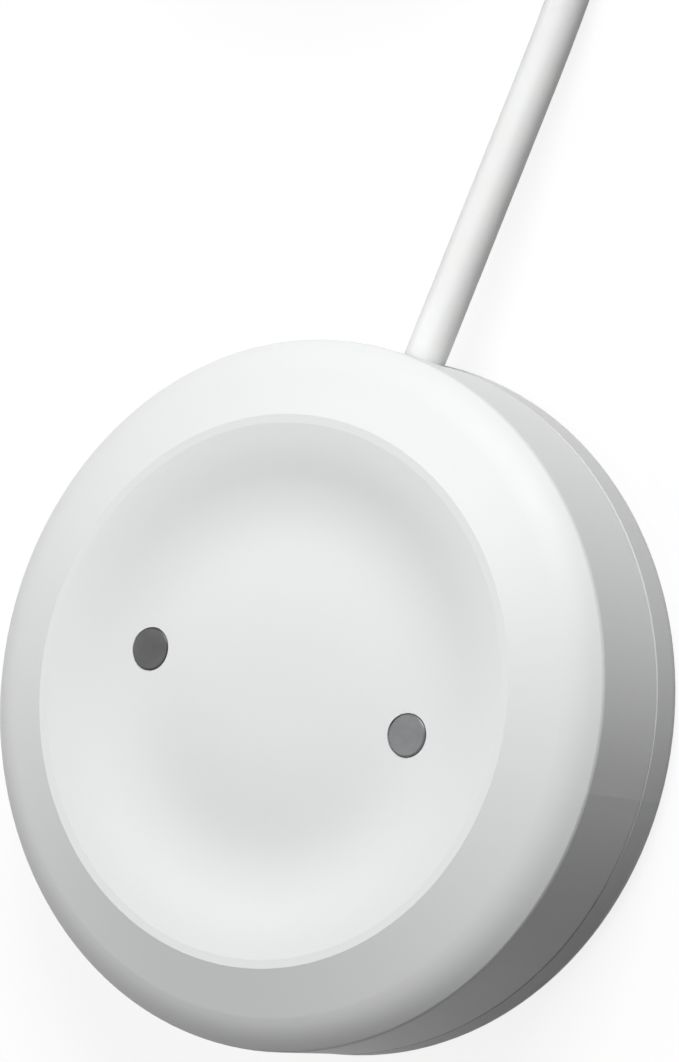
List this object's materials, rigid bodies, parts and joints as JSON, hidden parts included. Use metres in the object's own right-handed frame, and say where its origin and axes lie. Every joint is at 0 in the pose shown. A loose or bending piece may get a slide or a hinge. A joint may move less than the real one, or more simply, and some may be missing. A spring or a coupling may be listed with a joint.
{
  "type": "water leak sensor",
  "caption": "Round white puck with flush metal contacts in a shallow dish that senses water on a floor, with a thin cord that ends in a small plug.",
  "frame": {"origin": "middle of the flat back cover, on the plane that the puck lies on", "axes": "+Z out of the sensing dish, +Y along the cord's exit, the two contacts on X"},
  "size_m": [0.0745, 0.1383, 0.0146],
  "materials": {
    "white_plastic": "fine satin moulded ABS",
    "seal_rubber": "matte moulded silicone",
    "screw_steel": "bright zinc plated",
    "contact_steel": "turned and bead blasted stainless steel",
    "nut_brass": "plain turned brass",
    "board_laminate": "green solder mask",
    "resistor_coat": "dipped lacquer",
    "black_epoxy": "moulded black resin",
    "chip_ceramic": "fired ceramic",
    "natural_nylon": "natural moulded nylon",
    "tinned_brass": "bright tin plating",
    "red_insulation": "extruded PVC",
    "black_insulation": "extruded PVC",
    "cord_jacket": "extruded soft PVC",
    "plug_moulding": "overmoulded soft PVC",
    "plug_nickel": "polished nickel plating"
  },
  "bodies": {
    "root": {"sensing_housing": "white_plastic", "back_cover": "white_plastic", "cover_seal": "seal_rubber", "cover_screws": "screw_steel", "board_screws": "screw_steel", "clamp_screws": "screw_steel", "contact_left": "contact_steel", "contact_right": "contact_steel", "contact_seal_left": "seal_rubber", "contact_seal_right": "seal_rubber", "contact_washers": "screw_steel", "contact_nuts": "nut_brass", "circuit_board": "board_laminate", "line_resistor": "resistor_coat", "surge_suppressor": "black_epoxy", "filter_capacitors": "chip_ceramic", "wire_header": "natural_nylon", "header_pins": "tinned_brass", "wire_plug": "natural_nylon", "wire_red": "red_insulation", "wire_black": "black_insulation", "cord_inner": "cord_jacket", "cord_bush": "seal_rubber", "cord_clamp": "natural_nylon", "cord_run": "cord_jacket", "cord_coil": "cord_jacket", "cord_lead": "cord_jacket", "plug_relief": "plug_moulding", "plug_grip": "plug_moulding", "plug_sleeve": "plug_nickel", "plug_insulator": "black_epoxy", "plug_tip": "plug_nickel"}
  },
  "joints": []
}
